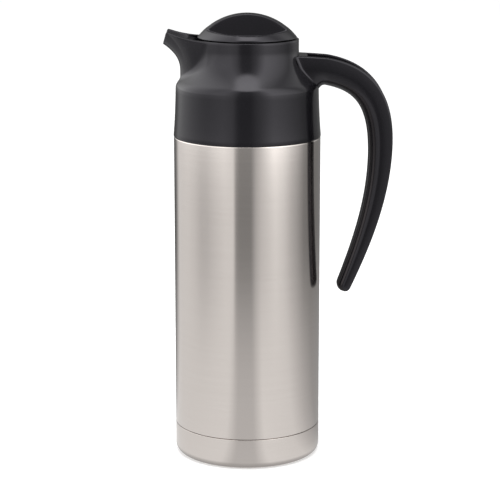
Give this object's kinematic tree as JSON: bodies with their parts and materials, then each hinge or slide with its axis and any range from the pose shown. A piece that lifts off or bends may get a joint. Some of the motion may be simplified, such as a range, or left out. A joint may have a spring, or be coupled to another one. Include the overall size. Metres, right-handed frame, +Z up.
{
  "type": "vacuum creamer",
  "caption": "Slim double-walled steel vacuum jug with a black moulded collar, gutter spout, open-ended handle and a screw-in domed stopper, for cream or milk.",
  "frame": {"origin": "centre of the base, on the surface it stands on", "axes": "+Z up along the vessel axis, +X towards the handle, -X towards the spout"},
  "size_m": [0.1398, 0.0904, 0.2754],
  "materials": {
    "brushed_steel": "brushed round the body",
    "plain_steel": "plain",
    "liner_steel": "electropolished",
    "screw_steel": "plain",
    "black_plastic": "satin",
    "inner_plastic": "fine matt",
    "black_rubber": "matt",
    "silicone": "matt",
    "foam": "expanded foam",
    "getter": "sintered",
    "bead": "fused"
  },
  "bodies": {
    "vessel": {"base_cup": "brushed_steel", "outer_shell": "brushed_steel", "shell_bottom": "plain_steel", "seal_bead": "bead", "getter_capsule": "getter", "getter_strap": "plain_steel", "inner_liner": "liner_steel", "liner_bottom": "liner_steel", "neck_gasket": "silicone", "collar_gasket": "black_rubber", "neck_sleeve": "inner_plastic", "collar": "black_plastic", "handle": "black_plastic", "handle_screw_front": "screw_steel", "handle_screw_back": "screw_steel"},
    "seal": {"plug_seal": "silicone"},
    "lid": {"stopper_cup": "inner_plastic", "stopper_foam": "foam", "lid_oring": "black_rubber", "lid_dome": "black_plastic"}
  },
  "joints": [
    {"name": "lid_rise", "type": "slide", "parent": "vessel", "child": "seal", "axis": [0, 0, 1], "range_m": [0, 0.0301]},
    {"name": "lid_turn", "type": "hinge", "parent": "seal", "child": "lid", "pos_m": [0, 0, 0.25], "axis": [0, 0, 1], "range_deg": [0, 720]}
  ],
  "couplings": [
    {"joint": "lid_rise", "follows": "lid_turn", "m_per_rad": 0.0023873}
  ]
}
